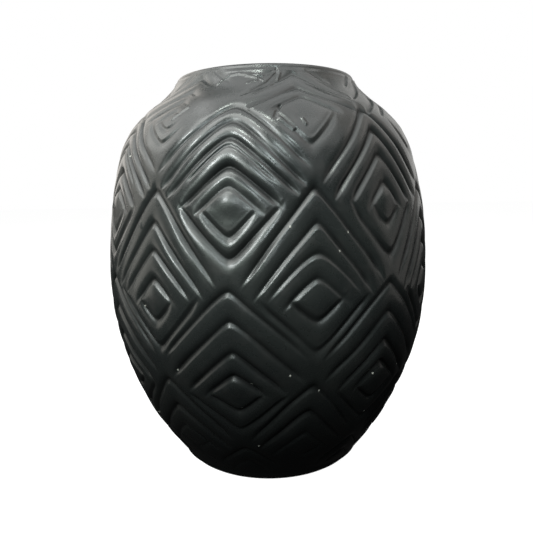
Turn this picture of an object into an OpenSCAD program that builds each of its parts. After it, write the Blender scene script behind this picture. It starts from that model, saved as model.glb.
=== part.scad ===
// Black clay pot with raised diamond bands.
// A low egg-shaped jar, raised in courses of clay on a flat floor disc, with a short wide neck and a
// thin rolled lip. Rows of nested diamonds stand proud of the wall, staggered like brickwork.
// The origin is the centre of the underside of the foot, Z is up, and -Y is the front.

/* [Body] */
// Height from the foot to the top of the lip
pot_h = 237; // [120:1:400]
// Greatest diameter of the wall, without the relief
belly_d = 197; // [100:1:340]
// Diameter of the flat foot
foot_d = 104; // [50:1:200]
// Outside diameter at the lip
mouth_d = 109; // [50:1:220]
// Thickness of the wall
wall_t = 6; // [4:0.5:12]
// Thickness of the lip at its roll
lip_t = 5; // [3:0.5:10]
// Thickness of the floor disc
floor_t = 8; // [5:0.5:16]
// Height of the small bevel around the foot
foot_bevel = 1.5; // [1:0.5:6]

/* [Relief] */
// Diamonds in each row
cells = 7; // [4:1:12]
// Spacing of the rows along the wall, half a diamond each
row_pitch = 48; // [20:1:90]
// Height of the ridges above the wall
relief_h = 1.6; // [0.6:0.1:4]
// Width of a ridge at its foot
ridge_w = 8.6; // [3:0.1:16]
// Turn of the pattern about the pot, in degrees
pattern_turn = -11.3; // [-30:0.1:30]
// Depth that the ridges are pressed into the wall
ridge_bed = 0.8; // [0.4:0.1:2.5]

/* [Colours] */
// Burnished clay
clay = [0.13, 0.135, 0.135];
// Clay of the relief, where it catches the light
clay_light = [0.22, 0.225, 0.22];

/* [Hidden] */
$fn = 180;

// Outline of the wall: [share of the height, radius]. It swells fast from the foot, is widest at
// half height, and rolls in over the shoulder to the straight neck.
belly_r = belly_d / 2;
outline = [
    [0, foot_d / 2],
    [0.045, 0.61 * belly_r],
    [0.17, 0.80 * belly_r],
    [0.33, 0.948 * belly_r],
    [0.50, belly_r],
    [0.66, 0.976 * belly_r],
    [0.80, 0.909 * belly_r],
    [0.86, 0.845 * belly_r],
    [0.905, 0.752 * belly_r],
    [0.945, 0.635 * belly_r],
    [0.975, 0.578 * belly_r],
    [1, mouth_d / 2]
];

// The courses meet on bevels that climb this far through the wall, as a luted coil does.
scarf = 5;
// Seams on the outer face, from the floor disc up to the lip coil
seams = [12, 50, 96, 144, 188, 213, 227];
// Height of one facet band of the turned wall
band = 4;

// ---- the wall's curve ----

last_point = len(outline) - 1;
function point_z(i) = outline[i][0] * pot_h;
function slope_at(i) =
    let (a = max(i - 1, 0), b = min(i + 1, last_point))
    (outline[b][1] - outline[a][1]) / (point_z(b) - point_z(a));
function span_of(z, i = 0) =
    i >= last_point - 1 || z < point_z(i + 1) ? i : span_of(z, i + 1);

// Radius of the outer face at a height, by cubic pieces through the outline's points
function outer_r(z) =
    let (
        i = span_of(z),
        w = point_z(i + 1) - point_z(i),
        t = (z - point_z(i)) / w,
        s = 1 - t
    )
    outline[i][1] * (1 + 2 * t) * s * s
    + outline[i + 1][1] * (1 + 2 * s) * t * t
    + slope_at(i) * w * t * s * s
    - slope_at(i + 1) * w * t * t * s;

// Change of radius with height, and the length of wall in one millimetre of height
function lean(z) =
    let (a = max(z - 0.5, 0), b = min(z + 0.5, pot_h)) (outer_r(b) - outer_r(a)) / (b - a);
function stretch(z) = sqrt(1 + lean(z) * lean(z));
function inner_r(z) = outer_r(z) - wall_t * stretch(z);

// Heights from a to b in even steps of about one band
function heights(a, b) =
    let (n = max(1, round((b - a) / band))) [for (i = [0 : n]) a + (b - a) * i / n];
function reversed(list) = [for (i = [len(list) - 1 : -1 : 0]) list[i]];

// ---- the clay body ----

// One course of the wall between two seams
module course(z0, z1) {
    rotate_extrude()
        polygon(concat(
            [for (z = heights(z0, z1)) [outer_r(z), z]],
            [for (z = reversed(heights(z0 + scarf, z1 + scarf))) [inner_r(z), z]]
        ));
}

module floor_disc() {
    top = seams[0];
    color(clay)
        rotate_extrude()
            polygon(concat(
                [[0, 0], [outer_r(0) - foot_bevel, 0], [outer_r(foot_bevel), foot_bevel]],
                [for (z = heights(foot_bevel + 2, top)) [outer_r(z), z]],
                [[inner_r(top + scarf), top + scarf], [inner_r(floor_t) - 6, floor_t]],
                [[0, floor_t]]
            ));
}

module heel_course() { color(clay) course(seams[0], seams[1]); }
module lower_belly_course() { color(clay) course(seams[1], seams[2]); }
module belly_course() { color(clay) course(seams[2], seams[3]); }
module upper_belly_course() { color(clay) course(seams[3], seams[4]); }
module shoulder_course() { color(clay) course(seams[4], seams[5]); }

module neck_collar() {
    z0 = seams[5];
    z1 = seams[6];
    color(clay)
        rotate_extrude()
            polygon(concat(
                [for (z = heights(z0, z1)) [outer_r(z), z]],
                [for (z = reversed(heights(z0 + scarf, z1))) [inner_r(z), z]]
            ));
}

// The rolled lip: the wall thins to a round bead
module lip_coil() {
    z0 = seams[6];
    bead = lip_t / 2;
    bead_z = pot_h - bead;
    bead_x = mouth_d / 2 - bead;
    color(clay)
        rotate_extrude()
            polygon(concat(
                [for (z = heights(z0, bead_z - 1)) [outer_r(z), z]],
                [for (a = [15 : 15 : 165]) [bead_x + bead * cos(a), bead_z + bead * sin(a)]],
                [[bead_x - bead, bead_z - 1], [inner_r(z0), z0]]
            ));
}

// ---- the relief ----
// A place on the wall is [turn, climb]: turn counts half cells around the pot, and climb counts rows
// along the wall's own length. Whole numbers are the corners where four diamonds meet.

// The wall's length up to each whole millimetre of height
wall_lengths = [for (i = 0, s = 0; i <= pot_h; s = s + stretch(i + 0.5), i = i + 1) [s, i]];
// The climb at the foot
first_climb = 0.14;
function height_of(climb) = lookup((climb - first_climb) * row_pitch, wall_lengths);

// A point on the wall, lifted by h along the wall's normal
function on_wall(turn, climb, h) =
    let (
        a = pattern_turn - 90 + turn * 180 / cells,
        z = height_of(climb),
        k = stretch(z),
        r = outer_r(z) + h / k
    )
    [r * cos(a), r * sin(a), z - h * lean(z) / k];

// Section across a ridge: [place across it in half widths, height]
section = [[-1, -ridge_bed], [-0.7, 0.68 * relief_h], [0, relief_h], [0.7, 0.68 * relief_h],
           [1, -ridge_bed]];
// Half a ridge's width as a share of a row, measured up the wall
half_w = ridge_w / 2 / row_pitch / 0.677;

// Corners of a diamond with its top at climb u and its bottom at climb l, and its points in order
function diamond(u, l) = let (x = (u - l) / 2, y = (u + l) / 2) [[0, u], [x, y], [0, l], [-x, y]];
function round_points(c, n) =
    [for (k = [0 : 3]) for (i = [0 : n - 1]) c[k] + (c[(k + 1) % 4] - c[k]) * i / n];

// A shell is [points, faces]. merged() joins separate shells into one list of each.
function shifted(faces, by) = [for (f = faces) [for (v = f) v + by]];
function counts(shells) = [for (i = 0, n = 0; i < len(shells); n = n + len(shells[i][0]), i = i + 1) n];
function merged(shells) =
    let (at = counts(shells))
    [
        [for (s = shells) each s[0]],
        [for (i = [0 : len(shells) - 1]) each shifted(shells[i][1], at[i])]
    ];

// Quads between ring i and ring i + 1 of a tube with m points a ring
function tube_faces(rings, m, closed) =
    [for (i = [0 : rings - (closed ? 1 : 2)]) for (j = [0 : m - 1])
        let (a = i * m, b = ((i + 1) % rings) * m, k = (j + 1) % m)
        each [[a + j, a + k, b + k], [a + j, b + k, b + j]]];

// A closed diamond ridge in the cell whose side corners are at [turn, climb]. "fat" scales its width.
function diamond_ridge(turn, climb, u, l, n, fat = 1) =
    let (
        m = len(section),
        w = half_w * fat,
        loops = [for (s = section) round_points(diamond(u + s[0] * w, l - s[0] * w), n)],
        count = 4 * n
    )
    [
        [for (i = [0 : count - 1]) for (j = [0 : m - 1])
            on_wall(turn + loops[j][i][0], climb + loops[j][i][1], section[j][1])],
        tube_faces(count, m, true)
    ];

// An open ridge like a roof, with its apex at climb u and its legs fading out at the turn "reach".
// The legs fall by "fall" rows for each half cell.
function chevron_ridge(turn, climb, u, reach, n, fat = 1, fall = 1) =
    let (m = len(section), w = half_w * fat * sqrt(1 + fall * fall) / sqrt(2))
    [
        concat([for (i = [-n : n]) for (s = section)
            let (
                x = reach * i / n,
                fade = abs(i) == n ? 0.3 : 1,
                up = s[0] * w * (0.6 + 0.4 * fade)
            )
            on_wall(turn + x, climb + u - fall * abs(x) + up, s[1] > 0 ? s[1] * fade : s[1])]),
        concat(
            tube_faces(2 * n + 1, m, false),
            [[for (j = [m - 1 : -1 : 0]) j]],
            [[for (j = [0 : m - 1]) 2 * n * m + j]]
        )
    ];

// The boss in the middle of a diamond: a low pillow
function boss(turn, climb, u, l) =
    let (
        rings = [[1, -ridge_bed], [0.72, 0.7 * relief_h], [0.3, relief_h]],
        mid = (u + l) / 2,
        n = 2,
        count = 4 * n,
        top = len(rings) * count
    )
    [
        concat(
            [for (g = rings) for (p = round_points(diamond((u - l) / 2 * g[0], (l - u) / 2 * g[0]), n))
                on_wall(turn + p[0], climb + mid + p[1], g[1])],
            [on_wall(turn, climb + mid, relief_h * 1.08)]
        ),
        concat(
            [for (i = [0 : len(rings) - 2]) for (j = [0 : count - 1])
                let (a = i * count, b = a + count, k = (j + 1) % count)
                each [[a + j, a + k, b + k], [a + j, b + k, b + j]]],
            [for (j = [0 : count - 1])
                [top - count + j, top - count + (j + 1) % count, top]],
            [[for (j = [count - 1 : -1 : 0]) j]]
        )
    ];

// Places of the ridges in a cell, in rows above or below its side corners
outer_u = 0.47;
outer_l = -0.865;
inner_u = 0.17;
inner_l = -0.585;
boss_u = -0.03;
boss_l = -0.41;
roof_u = 0.79;
roof_reach = 0.8;

// Turns of the cells in a row: the rows are staggered by half a cell
function turns(climb) = [for (k = [0 : cells - 1]) 2 * k + climb % 2];

// One full cell: boss, inner and outer diamonds, and the roof over them
function full_cell(turn, climb) = [
    boss(turn, climb, boss_u, boss_l),
    diamond_ridge(turn, climb, inner_u, inner_l, 2),
    diamond_ridge(turn, climb, outer_u, outer_l, 3),
    chevron_ridge(turn, climb, roof_u, roof_reach, 4)
];

// The shoulder's diamonds have two closer roofs, where the wall rolls in
function shoulder_cell(turn, climb) = [
    boss(turn, climb, boss_u, boss_l),
    diamond_ridge(turn, climb, inner_u - 0.02, inner_l, 2, 0.95),
    diamond_ridge(turn, climb, outer_u - 0.05, outer_l, 3, 0.8),
    chevron_ridge(turn, climb, 0.63, 0.68, 4, 0.62),
    chevron_ridge(turn, climb, 0.82, roof_reach, 4, 0.62)
];

// Under the neck only a small diamond is left, low in the cell
function collar_cell(turn, climb) = [
    boss(turn, climb, -0.24, -0.5),
    diamond_ridge(turn, climb, -0.06, -0.68, 2, 0.8)
];

// Flat roofs over it run up to the neck and nearly meet their neighbours, like a zigzag
function neck_cell(turn, climb) = [
    chevron_ridge(turn, climb, 0.13, 0.66, 4, 0.8, 0.45),
    chevron_ridge(turn, climb, 0.35, 0.84, 4, 0.8, 0.45)
];

// Above the foot the outer diamond has lost its lower half, and the last row is only roofs
function heel_cell(turn, climb) = [
    boss(turn, climb, boss_u, boss_l),
    diamond_ridge(turn, climb, inner_u, inner_l, 2),
    chevron_ridge(turn, climb, outer_u, 0.62, 4),
    chevron_ridge(turn, climb, roof_u, roof_reach, 4)
];
function foot_cell(turn, climb) = [
    chevron_ridge(turn, climb, roof_u, 0.5, 3),
    chevron_ridge(turn, climb, 0.5, 0.16, 2)
];

module relief(shells) {
    all = merged(shells);
    color(clay_light) polyhedron(points = all[0], faces = all[1], convexity = 8);
}

module foot_chevrons() { relief([for (t = turns(0)) each foot_cell(t, 0)]); }
module heel_diamonds() { relief([for (t = turns(1)) each heel_cell(t, 1)]); }
module lower_diamonds() { relief([for (t = turns(2)) each full_cell(t, 2)]); }
module belly_diamonds() { relief([for (t = turns(3)) each full_cell(t, 3)]); }
module shoulder_diamonds() { relief([for (t = turns(4)) each shoulder_cell(t, 4)]); }
module collar_diamonds() { relief([for (t = turns(5)) each collar_cell(t, 5)]); }
module neck_chevrons() { relief([for (t = turns(5)) each neck_cell(t, 5)]); }

floor_disc();
heel_course();
lower_belly_course();
belly_course();
upper_belly_course();
shoulder_course();
neck_collar();
lip_coil();
foot_chevrons();
heel_diamonds();
lower_diamonds();
belly_diamonds();
shoulder_diamonds();
collar_diamonds();
neck_chevrons();
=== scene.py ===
"""Looks of the black clay pot: the relief pressed into its wall, the burnished clay, lights and camera.

Lengths are in metres, in the frame of the CAD model: the origin is the centre of the underside of
the foot, Z is up and -Y is the front.
"""
from math import cos, pi, radians, sin

import bpy
import numpy as np
from mathutils import Matrix, Vector


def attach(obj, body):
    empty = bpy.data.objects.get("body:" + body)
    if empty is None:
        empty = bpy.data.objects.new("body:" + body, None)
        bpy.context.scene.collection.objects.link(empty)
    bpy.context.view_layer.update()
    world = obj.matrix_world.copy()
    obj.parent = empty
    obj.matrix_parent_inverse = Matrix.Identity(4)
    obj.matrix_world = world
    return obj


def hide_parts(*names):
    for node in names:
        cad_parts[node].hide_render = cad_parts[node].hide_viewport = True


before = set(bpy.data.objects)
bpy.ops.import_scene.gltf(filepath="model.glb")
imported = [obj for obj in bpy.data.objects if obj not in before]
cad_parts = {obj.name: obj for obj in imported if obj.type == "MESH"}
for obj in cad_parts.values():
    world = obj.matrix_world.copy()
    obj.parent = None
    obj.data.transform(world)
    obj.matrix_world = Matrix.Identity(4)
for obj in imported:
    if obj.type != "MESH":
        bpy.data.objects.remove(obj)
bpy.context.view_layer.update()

MM = 0.001

# ---- the wall, as in part.scad ----

POT_H = 237 * MM
BELLY_R = 98.5 * MM
FOOT_R = 52 * MM
MOUTH_R = 54.5 * MM
WALL_T = 6 * MM
LIP_T = 5 * MM
FLOOR_T = 8 * MM
FOOT_BEVEL = 1.5 * MM
# The seams between the courses, on the outer face. On the inner face they lie a scarf higher.
SCARF = 5 * MM
SEAMS = np.array([12, 50, 96, 144, 188, 213, 227]) * MM
# The pattern: cells in a row, distance up the wall between rows, the climb in rows at which the foot
# starts, and degrees from the front to the middle of cell 0
CELLS = 7
ROW_PITCH = 48 * MM
FIRST_CLIMB = 0.14
PATTERN_TURN = -11.3

OUTLINE_Z = POT_H * np.array([0, 0.045, 0.17, 0.33, 0.5, 0.66, 0.8, 0.86, 0.905, 0.945, 0.975, 1])
OUTLINE_R = BELLY_R * np.array([FOOT_R / BELLY_R, 0.61, 0.80, 0.948, 1, 0.976, 0.909, 0.845,
                                0.752, 0.635, 0.578, MOUTH_R / BELLY_R])

# ---- the mesh ----

COLUMNS_PER_HALF_CELL = 64
COLUMNS = 2 * CELLS * COLUMNS_PER_HALF_CELL
OUTER_STEP = 0.7 * MM
INNER_STEP = 3 * MM
FLAT_STEP = 4 * MM

rng = np.random.default_rng(1955)


def end_slopes(r, z):
    """Slope of the outline at each point: through its two neighbours, or one-sided at the ends"""
    after = np.minimum(np.arange(len(z)) + 1, len(z) - 1)
    before = np.maximum(np.arange(len(z)) - 1, 0)
    return (r[after] - r[before]) / (z[after] - z[before])


OUTLINE_SLOPE = end_slopes(OUTLINE_R, OUTLINE_Z)


def outer_r(z):
    """Radius of the wall's outer face at a height"""
    i = np.clip(np.searchsorted(OUTLINE_Z, z, side="right") - 1, 0, len(OUTLINE_Z) - 2)
    w = OUTLINE_Z[i + 1] - OUTLINE_Z[i]
    t = (z - OUTLINE_Z[i]) / w
    s = 1 - t
    return (
        OUTLINE_R[i] * (1 + 2 * t) * s * s
        + OUTLINE_R[i + 1] * (1 + 2 * s) * t * t
        + OUTLINE_SLOPE[i] * w * t * s * s
        - OUTLINE_SLOPE[i + 1] * w * t * t * s
    )


def lean(z):
    """Change of radius with height"""
    a = np.maximum(z - 0.5 * MM, 0)
    b = np.minimum(z + 0.5 * MM, POT_H)
    return (outer_r(b) - outer_r(a)) / (b - a)


def stretch(z):
    """Length of wall in a unit of height"""
    return np.sqrt(1 + lean(z) ** 2)


def inner_r(z):
    return outer_r(z) - WALL_T * stretch(z)


HEIGHTS = np.linspace(0, POT_H, 475)
STEP_LENGTHS = stretch((HEIGHTS[1:] + HEIGHTS[:-1]) / 2) * np.diff(HEIGHTS)
LENGTHS = np.concatenate([[0], np.cumsum(STEP_LENGTHS)])


def climb_of(z):
    """Rows of the pattern from the corner at climb 0 up to a height"""
    return FIRST_CLIMB + np.interp(z, HEIGHTS, LENGTHS) / ROW_PITCH


def even_heights(z0, z1, step):
    """Heights from z0 to z1, evenly spaced along the wall"""
    s0, s1 = np.interp([z0, z1], HEIGHTS, LENGTHS)
    count = max(1, round(abs(s1 - s0) / step))
    return np.interp(np.linspace(s0, s1, count + 1), LENGTHS, HEIGHTS)


# ---- the relief ----
# A place on the wall is a turn, in half cells about the pot, and a climb, in rows up the wall. The
# ridges are left standing between pressed grooves. A roof is a groove like an inverted V over a cell,
# a valley one like a V under it. Apexes are in rows above the cell's side corners.

GROOVE_DEPTH = 2.0 * MM
GROOVE_REACH = 6.2 * MM
CREASE_R = 0.3 * MM
BURR_LIFT = 0.45 * MM
BURR_AT = 1.7 * MM
BURR_R = 0.8 * MM
NECK_BURR = 2.0
CREST = 0.8 * MM
BOSS_LIFTS = {2: 0.6 * MM, 3: 0.6 * MM, 4: 0.9 * MM}
BOSS_R = 10 * MM
FOOT_BEAD = 0.75 * MM
FOOT_BEAD_Z = 5.2 * MM
FOOT_BEAD_R = 1.0 * MM
# Over the whole relief: how far grooves stray, in half cells and in rows, how unevenly they were
# pressed, and how uneven the wall is
TURN_WOBBLE = 0.008
CLIMB_WOBBLE = 0.007
UNEVEN_PRESSING = 0.12
UNEVEN_WALL = 0.12 * MM
# The neck's grooves are rubbed away in a patch above the front diamond, given as degrees from the
# front and height
NECK_ROW = 5
RUBBED_AT = (-22, 212 * MM)
RUBBED_SIZE = (13, 16 * MM)


def roof(apex, slope, reach, width=1.0, depth=1.0, bluntness=0.05, cells=range(CELLS)):
    """A groove that falls from its apex to both sides, in the cells with these numbers"""
    return (apex, -slope, reach, width, depth, bluntness, cells)


def valley(apex, slope, reach, width=1.0, depth=1.0, bluntness=0.05, cells=range(CELLS)):
    """A groove that rises from its apex to both sides"""
    return (apex, slope, reach, width, depth, bluntness, cells)


# Cell 0 of an even row is nearest the front, and cell 0 of an odd row is half a cell further round.
# No two cells of a handmade pot are quite alike. In row 4 the ridges are close in some cells and open
# in others, and in row 3 the inner diamonds are soft in some and crisp in others.
CLOSE = (0, 3, 6)
OPEN = (1, 2, 4, 5)
SOFT = (0, 4)
CRISP = (1, 2, 3, 5, 6)
ROWS = {
    0: [roof(0.85, 0.62, 0.55, 1, 0.7), roof(0.60, 0.62, 0.35, 0.9, 0.4)],
    1: [roof(0.79, 0.92, 0.80), roof(0.44, 0.80, 0.70), roof(0.13, 0.75, 0.5, 1, 0.6),
        valley(-0.27, 0.6, 0.4, 1, 0.4)],
    2: [roof(0.90, 0.88, 0.84, 0.9, 0.9), roof(0.57, 0.84, 0.80), roof(0.235, 0.83, 0.60, 0.9, 1.2),
        roof(-0.035, 0.72, 0.36, 0.9, 1.3), valley(-0.50, 0.66, 0.33, 0.9, 1.2),
        valley(-0.78, 0.74, 0.62)],
    3: [roof(0.93, 1.18, 0.80, 0.9), roof(0.58, 1.12, 0.66, 0.9), valley(-0.77, 0.94, 0.60),
        roof(0.27, 0.99, 0.50, 0.9, 0.75, 0.12, SOFT), roof(0.01, 0.88, 0.34, 1.0, 0.95, 0.06, SOFT),
        valley(-0.44, 0.90, 0.29, 1.0, 1.1, 0.06, SOFT),
        roof(0.285, 0.99, 0.50, 0.9, 1, 0.05, CRISP), roof(-0.02, 0.90, 0.28, 0.9, 1, 0.05, CRISP),
        valley(-0.46, 0.90, 0.24, 0.9, 1, 0.05, CRISP)],
    4: [roof(0.86, 0.85, 0.90, 0.7, 0.8, 0.14, CLOSE), roof(0.66, 0.90, 0.86, 0.8, 0.9, 0.14, CLOSE),
        roof(0.47, 0.86, 0.76, 0.8, 1.0, 0.11, CLOSE), roof(0.385, 0.86, 0.5, 0.5, 0.6, 0.09, CLOSE),
        roof(0.16, 0.80, 0.56, 1.0, 1.1, 0.08, CLOSE), roof(-0.06, 0.76, 0.38, 1.0, 0.8, 0.06, CLOSE),
        roof(0.84, 0.98, 0.84, 0.9, 1, 0.05, OPEN), roof(0.565, 1.03, 0.72, 0.9, 1, 0.05, OPEN),
        roof(0.28, 1.0, 0.50, 1, 1, 0.05, OPEN), roof(-0.03, 1.0, 0.26, 1, 1, 0.05, OPEN),
        valley(-0.55, 0.90, 0.30, 1.0, 0.8, 0.05, CLOSE), valley(-0.77, 0.95, 0.56, 1.1, 1, 0.06, CLOSE),
        valley(-0.46, 0.97, 0.20, 1, 1, 0.05, OPEN), valley(-0.80, 1.15, 0.50, 1, 1, 0.05, OPEN)],
    5: [roof(0.46, 0.46, 0.95, 0.9, 0.5), roof(0.20, 0.46, 0.90, 1.0, 0.8),
        roof(0.02, 0.50, 0.50, 0.8, 0.85), roof(0.66, 0.46, 0.75, 0.8, 0.4),
        valley(-0.62, 0.95, 0.36, 1, 0.5, 0.05, (0, 1, 2, 4, 5)),
        roof(-0.15, 0.6, 0.22, 0.7, 0.6, 0.05, (3, 6)), valley(-0.40, 0.7, 0.2, 0.7, 0.6, 0.05, (3, 6)),
        valley(-0.57, 0.8, 0.36, 0.8, 0.6, 0.05, (3, 6))],
}


# Marks of the maker's tool around the neck: lift and half width in mm, then the path over the wall
# as (degrees from the front, height in mm). A negative lift is a scratch.
STROKES = [
    (0.6, 1.0, [(-24, 225), (-22, 228), (-19, 230.5), (-14, 231), (-10, 230.5), (-5, 230), (-1, 229.5)]),
    (0.6, 0.9, [(-10, 229.5), (-6, 228.8), (-3, 227.5), (-1, 226)]),
    (0.6, 0.9, [(-9, 224.5), (-7, 225.5), (-4, 226), (-3, 228)]),
    (-0.6, 1.2, [(7, 236), (6, 231), (1, 225), (-6, 220)]),
    (0.5, 1.0, [(8, 231), (6, 226), (1, 221), (-5, 217)]),
    (0.9, 1.7, [(5, 204), (9, 199)]),
    (0.6, 1.0, [(12.5, 204), (13.4, 201)]),
    (-0.9, 1.5, [(5.5, 211), (4, 208), (3.2, 205)]),
    (0.6, 1.1, [(-36, 206), (-31, 212)]),
    (0.5, 0.8, [(-43, 154), (-42.5, 151)]),
    (0.7, 1.0, [(-66, 168), (-64, 161)]),
    (0.7, 1.0, [(-70, 150), (-67, 144)]),
]

# Pale grains that came to the surface in the burnishing: (degrees from the front, height in mm)
GRAINS_IN_FRONT = [(-9.8, 57.8), (-5.8, 72), (16.6, 66), (-31.5, 76.5), (6.3, 77), (-5, 32), (36.8, 71.5),
                   (39.5, 46.5), (24, 148.5), (21, 139.5), (6.5, 152), (-42, 110)]
GRAINS_ELSEWHERE = 40
GRAIN_R = 0.85 * MM

# The shallow rings inside, left by the fingers that raised the wall
HAND_RING = 0.25 * MM
HAND_RING_SINK = 0.3 * MM


def smooth(x):
    x = np.clip(x, 0, 1)
    return x * x * (3 - 2 * x)


def degrees_from(azimuth, azimuth0):
    """Degrees around the pot from azimuth0, between -180 and 180"""
    return (azimuth - azimuth0 + 180) % 360 - 180


def across_wall(azimuth, z, azimuth0, z0):
    """Distance along the wall, around and up, from a place to every point"""
    around = np.radians(degrees_from(azimuth, azimuth0)) * outer_r(z)
    up = np.interp(z, HEIGHTS, LENGTHS) - np.interp(z0, HEIGHTS, LENGTHS)
    return around, up


def stroke_lift(azimuth, z):
    """Height that the strokes add to the wall"""
    total = 0
    for lift, half_width, path in STROKES:
        nearest = np.inf
        for (a0, mm0), (a1, mm1) in zip(path, path[1:]):
            x, y = across_wall(azimuth, z, a0, mm0 * MM)
            run, rise = across_wall(a1, mm1 * MM, a0, mm0 * MM)
            t = np.clip((x * run + y * rise) / (run * run + rise * rise), 0, 1)
            nearest = np.minimum(nearest, np.hypot(x - t * run, y - t * rise))
        total = total + lift * MM * smooth(1 - nearest / (half_width * MM))
    return total


def grains(azimuth, z):
    """1 in the middle of each pale grain, 0 away from them"""
    places = [(a, mm * MM) for a, mm in GRAINS_IN_FRONT]
    places += zip(rng.uniform(50, 310, GRAINS_ELSEWHERE), rng.uniform(15, 225, GRAINS_ELSEWHERE) * MM)
    total = 0
    for a, height in places:
        total = np.maximum(total, 1 - np.hypot(*across_wall(azimuth, z, a, height)) / GRAIN_R)
    return total


def blunt(x, radius):
    """|x|, rounded where it turns"""
    return np.sqrt(x * x + radius * radius) - radius


def groove(distance, width):
    """Depth of a pressed groove: a crease from which the clay swells up on both sides like a cushion"""
    distance = np.sqrt(distance * distance + CREASE_R * CREASE_R)
    return np.clip(1 - distance / (width * GROOVE_REACH), 0, 1) ** 3.3


def burr(outwards, width):
    """The thin edge that the tool throws up on the side of the groove towards the cell's middle"""
    return np.exp(-((outwards / width + BURR_AT) / BURR_R) ** 2)


def row_grooves(turn, climb, radius, row, marks):
    """The grooves that the cells of one row press into the wall: each one's depth and burr everywhere"""
    side = (turn - row + 1) % 2 - 1
    cell = np.round((turn - side - row % 2) / 2) % CELLS
    x = np.abs(side)
    y = climb - row
    half_cell = pi * radius / CELLS
    for apex, slope, reach, width, depth, bluntness, cells in marks:
        line = apex + slope * blunt(x, bluntness)
        across = -np.sign(slope) * ROW_PITCH / np.sqrt(1 + (slope * ROW_PITCH / half_cell) ** 2)
        outwards = (y - line) * across
        strength = depth * (1 - smooth((x - reach + 0.1) / 0.2)) * np.isin(cell, cells)
        yield strength * groove(outwards, width), strength * burr(outwards, width)


def bosses(turn, climb, radius):
    """The low domes in the middle of the diamonds"""
    total = 0
    for row, lift in BOSS_LIFTS.items():
        x = ((turn - row + 1) % 2 - 1) * pi * radius / CELLS
        y = (climb - row + 0.2) * ROW_PITCH
        total = total + lift * smooth(1 - np.sqrt(x * x + y * y) / BOSS_R)
    return total


def waves(turn, climb, count, turn_waves, climb_waves):
    """Smooth noise that closes around the pot: a sum of waves, about 1 high"""
    total = 0
    for _ in range(count):
        k = rng.integers(-turn_waves, turn_waves + 1)
        m = rng.uniform(-climb_waves, climb_waves)
        phase = rng.uniform(0, 2 * pi)
        total = total + np.cos(2 * pi * (k * turn / (2 * CELLS) + m * climb / 5) + phase)
    return total / np.sqrt(count / 2)


def relief(z, turn, azimuth):
    """Height of the wall's skin above the CAD wall, and how deep it lies in a groove"""
    climb = climb_of(z)
    radius = outer_r(z)
    wobble_turn = turn + TURN_WOBBLE * waves(turn, climb, 14, 12, 7)
    wobble_climb = climb + CLIMB_WOBBLE * waves(turn, climb, 14, 12, 7)
    firmness = 1 + UNEVEN_PRESSING * waves(turn, climb, 16, 16, 9)
    pressed = 0
    burrs = 0
    rubbed_x = degrees_from(azimuth, RUBBED_AT[0]) / RUBBED_SIZE[0]
    rubbed_y = (z - RUBBED_AT[1]) / RUBBED_SIZE[1]
    unrubbed = 1 - smooth(1.6 * np.exp(-rubbed_x ** 2 - rubbed_y ** 2))
    for row, marks in ROWS.items():
        kept, burr_scale = (unrubbed, NECK_BURR) if row == NECK_ROW else (1, 1)
        for depth, edge in row_grooves(wobble_turn, wobble_climb, radius, row, marks):
            # The fourth powers let the deepest groove win where grooves meet, without a hard edge
            pressed = pressed + (depth * kept) ** 4
            burrs = np.maximum(burrs, edge * kept * burr_scale)
    pressed = pressed ** 0.25 * firmness
    burrs = burrs * firmness * (1 - smooth(2 * pressed))
    swell = smooth((z - 4 * MM) / (16 * MM)) * (1 - smooth((z - 222 * MM) / (11 * MM)))
    unevenness = UNEVEN_WALL * waves(turn, climb, 18, 9, 5)
    foot_bead = FOOT_BEAD * np.exp(-((z - FOOT_BEAD_Z) / FOOT_BEAD_R) ** 2)
    height = swell * (CREST + unevenness) + bosses(turn, climb, radius)
    height = height - GROOVE_DEPTH * pressed + BURR_LIFT * burrs
    return height + stroke_lift(azimuth, z) + foot_bead, pressed


# ---- the profile ----
# One line from the middle of the underside, over the foot, wall and lip, to the middle of the floor
# inside. Each point has a place, a direction in which the relief lifts it, and a share of the relief.

def arc(centre_r, centre_z, radius, angles):
    """Points of a round edge, which takes no relief"""
    return [(centre_r + radius * cos(a), centre_z + radius * sin(a), cos(a), sin(a), 0.0)
            for a in angles]


def wall_points(heights, radius_of, side, share):
    """Points up a face of the wall: side is 1 on the outer face and -1 on the inner one"""
    k = stretch(heights)
    return list(zip(radius_of(heights), heights, side / k, -side * lean(heights) / k,
                    np.full(len(heights), share)))


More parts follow.
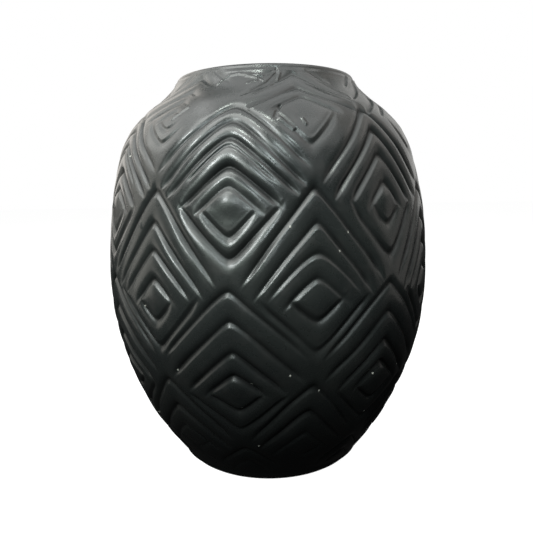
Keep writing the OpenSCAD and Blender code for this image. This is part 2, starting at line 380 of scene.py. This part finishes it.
def build_profile():
    """The profile's points, and the index of each seam on the outer and on the inner face"""
    points = [(0.0, 0.0, 0.0, -1.0, 0.0)]
    foot_edge = FOOT_R - FOOT_BEVEL
    for r in np.linspace(0, foot_edge, round(foot_edge / FLAT_STEP) + 1)[1:]:
        points.append((r, 0.0, 0.0, -1.0, 0.0))
    for t in (0.3, 0.65):
        points.append((foot_edge + FOOT_BEVEL * sin(t * pi / 2), FOOT_BEVEL * (1 - cos(t * pi / 2)),
                       sin(t * pi / 2), -cos(t * pi / 2), 0.0))

    outer_seams = []
    bead_r = LIP_T / 2
    bead_z = POT_H - bead_r
    levels = [FOOT_BEVEL, *SEAMS, bead_z - 0.6 * MM]
    for a, b in zip(levels, levels[1:]):
        heights = even_heights(a, b, OUTER_STEP)
        points += wall_points(heights[:-1], outer_r, 1, 1.0)
        if b in SEAMS:
            outer_seams.append(len(points))
    points += arc(MOUTH_R - bead_r, bead_z, bead_r, np.radians(np.arange(0, 181, 12)))

    inner_seams = []
    inner_levels = [bead_z - 3 * MM, SEAMS[-1], *(SEAMS[-2::-1] + SCARF)]
    for a, b in zip(inner_levels, inner_levels[1:]):
        heights = even_heights(a, b, INNER_STEP)
        points += wall_points(heights[:-1], inner_r, -1, 0.0)
        inner_seams.append(len(points))
    points += wall_points(np.array([inner_levels[-1]]), inner_r, -1, 0.0)
    corner_r = inner_r(inner_levels[-1])
    flat_r = inner_r(FLOOR_T) - 6 * MM
    for t in (0.25, 0.5, 0.75):
        points.append((corner_r + (flat_r - corner_r) * t,
                       FLOOR_T + (inner_levels[-1] - FLOOR_T) * (1 - t) ** 1.6, -0.5, 0.85, 0.0))
    for r in np.linspace(flat_r, 0, round(flat_r / FLAT_STEP) + 1):
        points.append((r, FLOOR_T, 0.0, 1.0, 0.0))
    return np.array(points), outer_seams, inner_seams[::-1]


profile, outer_seams, inner_seams = build_profile()
base_r, base_z, lift_r, lift_z, share = (profile[:, i:i + 1] for i in range(5))
turn = np.arange(COLUMNS)[None, :] / COLUMNS_PER_HALF_CELL
azimuth = PATTERN_TURN + turn * 180 / CELLS
angle = np.radians(azimuth - 90)

height, pressed = relief(base_z, turn, azimuth)
grain = grains(azimuth, base_z)
hand_rings = HAND_RING * waves(turn, base_z / POT_H * 5, 10, 3, 22) - HAND_RING_SINK
inside = (lift_r < 0) & (base_z > FLOOR_T + SCARF)
hand_rings = hand_rings * inside * smooth((POT_H - 4 * MM - base_z) / (6 * MM))
lift = np.where(share > 0, height, hand_rings)
radius = base_r + lift * lift_r
skin_z = base_z + lift * lift_z + np.zeros_like(angle)
points = np.stack([radius * np.cos(angle), radius * np.sin(angle), skin_z], -1)
groove_depth = share * np.clip(pressed, 0, 1)
grain = share * np.clip(grain, 0, 1)


def surface_normals(p):
    """Normals of the whole skin, so that shading runs across the seams"""
    around = np.roll(p, -1, 1) - np.roll(p, 1, 1)
    along = np.gradient(p, axis=0)
    n = np.cross(around, along)
    length = np.linalg.norm(n, axis=-1, keepdims=True)
    return np.where(length > 1e-15, n / np.maximum(length, 1e-15), 0)


normals = surface_normals(points)
normals[0] = (0, 0, -1)
normals[-1] = (0, 0, 1)


def ring_quads(rings, closed):
    """The corners of the quads between neighbouring rings of points, and back to the first if closed"""
    strips = rings if closed else rings - 1
    here = np.arange(strips)[:, None] * COLUMNS
    above = ((np.arange(strips) + 1) % rings)[:, None] * COLUMNS
    column = np.arange(COLUMNS)[None, :]
    after = (column + 1) % COLUMNS
    return np.stack([here + column, here + after, above + after, above + column], -1).reshape(-1, 4)


def flat_normals(verts, quads):
    corners = verts[quads]
    flat = np.cross(corners[:, 1] - corners[:, 0], corners[:, 3] - corners[:, 0])
    return flat / np.maximum(np.linalg.norm(flat, axis=-1, keepdims=True), 1e-15)


def piece_mesh(name, rows, closed):
    """A watertight shell through rows of the profile: a ring of clay if closed, or else a disc

    A disc's first and last rows lie on the pot's axis.
    """
    rings = rows if closed else rows[1:-1]
    verts = points[rings].reshape(-1, 3)
    quads = ring_quads(len(rings), closed)
    faces = quads.tolist()
    loop_normals = normals[rings].reshape(-1, 3)[quads]
    # A strip across a seam is flat; all others take the skin's normals
    gaps = np.abs(np.diff(np.append(rings, rings[0]))) > 1
    across_seam = np.repeat(gaps[:len(quads) // COLUMNS], COLUMNS)
    loop_normals[across_seam] = flat_normals(verts, quads)[across_seam][:, None, :]
    loop_normals = loop_normals.reshape(-1, 3)
    attributes = {"groove": groove_depth[rings].reshape(-1), "grain": grain[rings].reshape(-1)}
    if not closed:
        bottom, top = len(verts), len(verts) + 1
        verts = np.vstack([verts, points[rows[0], :1], points[rows[-1], :1]])
        attributes = {key: np.append(values, [0, 0]) for key, values in attributes.items()}
        ring = np.arange(COLUMNS)
        after = (ring + 1) % COLUMNS
        last = (len(rings) - 1) * COLUMNS
        faces += np.stack([np.full(COLUMNS, bottom), after, ring], -1).tolist()
        faces += np.stack([last + ring, last + after, np.full(COLUMNS, top)], -1).tolist()
        for z in (-1.0, 1.0):
            loop_normals = np.vstack([loop_normals, np.tile([0, 0, z], (3 * COLUMNS, 1))])
    mesh = bpy.data.meshes.new(name)
    mesh.from_pydata(verts.tolist(), [], faces)
    mesh.shade_smooth()
    mesh.normals_split_custom_set(loop_normals.tolist())
    for key, values in attributes.items():
        mesh.attributes.new(key, "FLOAT", "POINT").data.foreach_set("value", values.astype(np.float32))
    return mesh


def piece(name, rows, closed, material, *nodes):
    obj = bpy.data.objects.new(name, piece_mesh(name, rows, closed))
    bpy.context.scene.collection.objects.link(obj)
    obj.data.materials.append(material)
    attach(obj, "root")
    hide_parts(*nodes)
    return obj


# ---- the clay ----

def shader_node(tree, kind, **inputs):
    node = tree.nodes.new(kind)
    for key, value in inputs.items():
        node.inputs[key.replace("_", " ")].default_value = value
    return node


# Middle of the patch of painted shade low on the right, where the clay is coloured darker to stand in for
# shade
PAINTED_SHADE_PATCH_AT = (0.072, -0.042, 0.045)


def clay_material():
    """Black reduction-fired clay, rubbed to a satin sheen on the crests and duller in the grooves; painted
    shade darkens its colour deep in the grooves, towards the foot and in a patch low on the right
    """
    material = bpy.data.materials.new("black_clay")
    material.use_nodes = True
    tree = material.node_tree
    tree.nodes.clear()
    link = tree.links.new
    place = tree.nodes.new("ShaderNodeTexCoord").outputs["Object"]

    def attribute(name):
        node = tree.nodes.new("ShaderNodeAttribute")
        node.attribute_name = name
        return node.outputs["Fac"]

    def noise(scale, detail, roughness=0.5, squash=1):
        """Noise in the clay; a squash above 1 draws it out into level streaks"""
        mapping = shader_node(tree, "ShaderNodeMapping", Scale=(1, 1, squash))
        node = shader_node(tree, "ShaderNodeTexNoise", Scale=scale, Detail=detail, Roughness=roughness)
        link(place, mapping.inputs["Vector"])
        link(mapping.outputs["Vector"], node.inputs["Vector"])
        return node.outputs["Fac"]

    def ramp(source, *stops):
        node = tree.nodes.new("ShaderNodeValToRGB")
        elements = node.color_ramp.elements
        while len(elements) < len(stops):
            elements.new(0.5)
        for element, (position, value) in zip(elements, stops):
            element.position = position
            element.color = value if isinstance(value, tuple) else (value, value, value, 1)
        link(source, node.inputs["Fac"])
        return node.outputs["Color"]

    def mixed(a, b, factor, blend="MIX"):
        node = tree.nodes.new("ShaderNodeMix")
        node.data_type = "RGBA"
        node.blend_type = blend
        for socket, value in ((node.inputs[0], factor), (node.inputs[6], a), (node.inputs[7], b)):
            if isinstance(value, (float, tuple)):
                socket.default_value = value
            else:
                link(value, socket)
        return node.outputs[2]

    def math(operation, a, b):
        node = tree.nodes.new("ShaderNodeMath")
        node.operation = operation
        for socket, value in zip(node.inputs, (a, b)):
            if isinstance(value, float):
                socket.default_value = value
            else:
                link(value, socket)
        return node.outputs[0]

    def fade(source, full, gone):
        """1 where the source is at most full, falling to 0 where it reaches gone"""
        node = shader_node(tree, "ShaderNodeMapRange", From_Min=full, From_Max=gone, To_Min=1.0, To_Max=0.0)
        link(source, node.inputs["Value"])
        return node.outputs["Result"]

    depth = attribute("groove")
    pale = ramp(attribute("grain"), (0.25, 0.0), (0.6, 1.0))
    clouds = noise(14.0, 3.0, 0.55)
    mottle = noise(95.0, 4.0, 0.6)
    streaks = noise(40.0, 2.0, 0.5, 4)
    grit = noise(1400.0, 3.0, 0.6)

    # Painted shade: the clay is coloured darker towards the foot and in a patch low on the right, where
    # shade falls
    split = tree.nodes.new("ShaderNodeSeparateXYZ")
    link(place, split.inputs["Vector"])
    painted_shade_below = fade(split.outputs["Z"], 0.02, 0.12)
    from_painted_shade_patch = tree.nodes.new("ShaderNodeVectorMath")
    from_painted_shade_patch.operation = "DISTANCE"
    from_painted_shade_patch.inputs[1].default_value = PAINTED_SHADE_PATCH_AT
    link(place, from_painted_shade_patch.inputs[0])
    painted_shade_patch = fade(from_painted_shade_patch.outputs["Value"], 0.02, 0.075)
    painted_shade_mask = math("MAXIMUM", painted_shade_below, painted_shade_patch)

    colour = ramp(clouds, (0.35, (0.013, 0.015, 0.015, 1)), (0.7, (0.019, 0.021, 0.020, 1)))
    colour = mixed(colour, (0.028, 0.027, 0.026, 1), ramp(mottle, (0.5, 0.0), (0.75, 0.5)))
    # Painted shade towards the foot and in the patch low on the right
    colour = mixed(colour, (0.0035, 0.0037, 0.0038, 1), painted_shade_mask)
    # Painted shade: the clay is coloured darker deep in the grooves, where shade falls
    colour = mixed(colour, (0.006, 0.006, 0.006, 1), ramp(depth, (0.3, 0.0), (0.9, 0.65)))
    colour = mixed(colour, (0.45, 0.44, 0.40, 1), pale)

    rough = ramp(mottle, (0.3, 0.21), (0.7, 0.30))
    rough = math("ADD", rough, ramp(streaks, (0.3, 0.0), (0.7, 0.04)))
    rough = math("ADD", rough, math("MULTIPLY", depth, 0.15))
    rough = math("ADD", rough, math("MULTIPLY", pale, 0.3))

    rough = math("SUBTRACT", rough, math("MULTIPLY", painted_shade_patch, 0.12))

    # Rubbing leaves the grooves with less shine; the shine is also turned down with the painted shade
    # towards the foot and in the patch low on the right
    shine = ramp(depth, (0.4, 0.55), (0.9, 0.17))
    shine = math("MULTIPLY", shine, ramp(painted_shade_below, (0, 1.0), (1, 0.3)))
    shine = math("MULTIPLY", shine, ramp(painted_shade_patch, (0, 1.0), (1, 0.6)))

    fine_bump = shader_node(tree, "ShaderNodeBump", Strength=0.10, Distance=0.0002)
    link(grit, fine_bump.inputs["Height"])
    streak_bump = shader_node(tree, "ShaderNodeBump", Strength=0.05, Distance=0.0006)
    link(streaks, streak_bump.inputs["Height"])
    link(fine_bump.outputs["Normal"], streak_bump.inputs["Normal"])
    hand_bump = shader_node(tree, "ShaderNodeBump", Strength=0.18, Distance=0.0008)
    link(mottle, hand_bump.inputs["Height"])
    link(streak_bump.outputs["Normal"], hand_bump.inputs["Normal"])

    shader = shader_node(tree, "ShaderNodeBsdfPrincipled", IOR=1.5)
    link(colour, shader.inputs["Base Color"])
    link(rough, shader.inputs["Roughness"])
    link(shine, shader.inputs["Specular IOR Level"])
    link(hand_bump.outputs["Normal"], shader.inputs["Normal"])
    output = tree.nodes.new("ShaderNodeOutputMaterial")
    link(shader.outputs["BSDF"], output.inputs["Surface"])
    return material


clay = clay_material()
last = len(profile) - 1
courses = [
    ("pot_heel", ("heel_course", "foot_chevrons")),
    ("pot_lower_belly", ("lower_belly_course", "heel_diamonds")),
    ("pot_belly", ("belly_course", "lower_diamonds")),
    ("pot_upper_belly", ("upper_belly_course", "belly_diamonds")),
    ("pot_shoulder", ("shoulder_course", "shoulder_diamonds")),
    ("pot_collar", ("neck_collar", "collar_diamonds")),
]


def span(a, b):
    return np.arange(a, b + 1)


piece("pot_floor", np.concatenate([span(0, outer_seams[0]), span(inner_seams[0], last)]), False, clay,
      "floor_disc")
for i, (name, nodes) in enumerate(courses):
    outer = span(outer_seams[i], outer_seams[i + 1])
    inner = span(inner_seams[i + 1], inner_seams[i])
    piece(name, np.concatenate([outer, inner]), True, clay, *nodes)
piece("pot_lip", span(outer_seams[-1], inner_seams[-1]), True, clay, "lip_coil", "neck_chevrons")

# ---- camera ----

CAMERA_PLACE = (0, -0.370, 0.1697)
CAMERA_PITCH, CAMERA_YAW, CAMERA_ROLL = -7.64, -0.15, -0.95
camera = bpy.data.cameras.new("camera")
camera.lens = 38.6
camera.sensor_width = 36
camera_obj = bpy.data.objects.new("camera", camera)
bpy.context.scene.collection.objects.link(camera_obj)
camera_obj.matrix_world = (
    Matrix.Translation(CAMERA_PLACE)
    @ Matrix.Rotation(radians(-CAMERA_YAW), 4, "Z")
    @ Matrix.Rotation(radians(90 + CAMERA_PITCH), 4, "X")
    @ Matrix.Rotation(radians(CAMERA_ROLL), 4, "Z")
)
bpy.context.scene.camera = camera_obj

# ---- floor and light ----

floor_mesh = bpy.data.meshes.new("studio_floor")
floor_mesh.from_pydata([(-6, -6, 0), (6, -6, 0), (6, 6, 0), (-6, 6, 0)], [], [(0, 1, 2, 3)])
floor = bpy.data.objects.new("studio_floor", floor_mesh)
bpy.context.scene.collection.objects.link(floor)
floor_material = bpy.data.materials.new("studio_floor")
floor_material.use_nodes = True
paper = floor_material.node_tree.nodes["Principled BSDF"].inputs
paper["Base Color"].default_value = (0.2, 0.2, 0.2, 1)
paper["Roughness"].default_value = 0.9
paper["Specular IOR Level"].default_value = 0.1
paper["Emission Color"].default_value = (1, 1, 1, 1)
paper["Emission Strength"].default_value = 0.985
floor.data.materials.append(floor_material)
floor.visible_diffuse = False
floor.visible_glossy = False


def area_light(name, azimuth, elevation, distance, size, power, colour):
    """A soft box that looks at the pot. Azimuth is from the front, towards +X."""
    a, e = radians(azimuth), radians(elevation)
    target = Vector((0, 0, 0.12))
    towards = Vector((sin(a) * cos(e), -cos(a) * cos(e), sin(e)))
    light = bpy.data.lights.new(name, "AREA")
    light.shape = "RECTANGLE"
    light.size, light.size_y = size
    light.energy = power
    light.color = colour
    obj = bpy.data.objects.new(name, light)
    obj.location = target + towards * distance
    obj.rotation_euler = towards.to_track_quat("Z", "Y").to_euler()
    obj.visible_camera = False
    bpy.context.scene.collection.objects.link(obj)


for light in (
    ("lamp_left", -35, 25, 1.3, (0.12, 0.12), 6.4, (0.95, 1, 1)),
    ("lamp_middle", -8, 22, 1.3, (0.12, 0.12), 2.8, (0.88, 0.98, 1)),
    ("lamp_right", 10, 38, 1.3, (0.12, 0.12), 3.4, (0.86, 1, 0.98)),
    ("lamp_high", -12, 65, 1.3, (0.15, 0.15), 3.6, (0.9, 1, 0.92)),
    ("overhead", 0, 86, 1.2, (1.3, 1.3), 9, (1, 1, 1)),
    ("front_left", -42, 48, 1.4, (0.9, 0.8), 16, (0.97, 1, 0.97)),
    ("front_right", 42, 48, 1.4, (0.9, 0.8), 3.0, (0.99, 1, 0.99)),
    ("front", -30, 20, 1.6, (1.0, 0.7), 4.4, (0.8, 1, 0.86)),
    ("left_low", -95, 15, 1.3, (0.8, 1.4), 4.4, (1, 0.97, 0.89)),
    ("left_high", -95, 45, 1.3, (0.8, 1.0), 6.3, (0.99, 1, 0.98)),
    ("right_low", 95, 15, 1.3, (0.8, 1.4), 1.4, (1, 0.95, 0.90)),
    ("right_high", 95, 45, 1.3, (0.8, 1.0), 2.0, (1, 0.92, 0.87)),
    ("back_left", -140, 25, 1.4, (0.9, 1.2), 5.8, (1, 0.95, 0.89)),
    ("back_right", 140, 25, 1.4, (0.9, 1.2), 3.0, (1, 0.99, 0.96)),
):
    area_light(*light)

world = bpy.data.worlds.new("studio")
bpy.context.scene.world = world
world.use_nodes = True
world_tree = world.node_tree
background = world_tree.nodes["Background"]
background.inputs["Color"].default_value = (1, 1, 1, 1)
path = world_tree.nodes.new("ShaderNodeLightPath")
# White behind the pot, but next to no light on it
brightness = world_tree.nodes.new("ShaderNodeMapRange")
brightness.inputs["To Min"].default_value = 0.015
brightness.inputs["To Max"].default_value = 1.0
world_tree.links.new(path.outputs["Is Camera Ray"], brightness.inputs["Value"])
world_tree.links.new(brightness.outputs["Result"], background.inputs["Strength"])

bpy.context.scene.view_settings.view_transform = "Standard"
